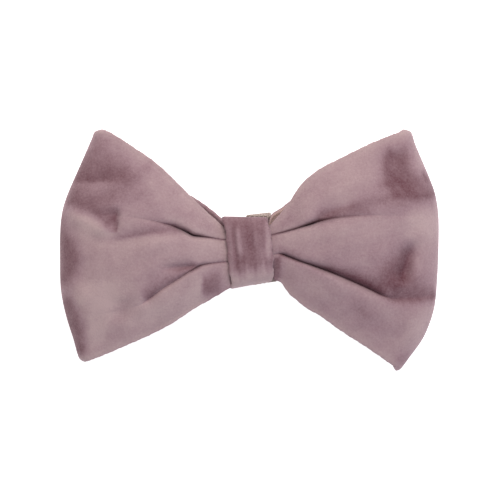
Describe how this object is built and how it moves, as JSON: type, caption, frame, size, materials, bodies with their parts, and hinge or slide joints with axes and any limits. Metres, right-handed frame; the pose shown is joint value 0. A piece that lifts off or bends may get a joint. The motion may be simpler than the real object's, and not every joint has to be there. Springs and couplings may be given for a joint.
{
  "type": "pet bow tie",
  "caption": "Velvet bow tie for a pet's collar: a gathered band makes puffed wings, a wrap makes the knot, and an elastic loop behind the knot holds a collar.",
  "frame": {"origin": "on the surface that the bow lies on, under the middle of its bounding box", "axes": "+X along the wings, to the right as seen from the front, +Y up the bow, +Z out of its front"},
  "size_m": [0.12, 0.0763, 0.0242],
  "materials": {
    "velvet": "dusty mauve velvet with a short brushed pile",
    "elastic": "beige woven elastic"
  },
  "bodies": {
    "root": {"bow_band": "velvet", "knot_wrap": "velvet", "collar_loop": "elastic"}
  },
  "joints": []
}
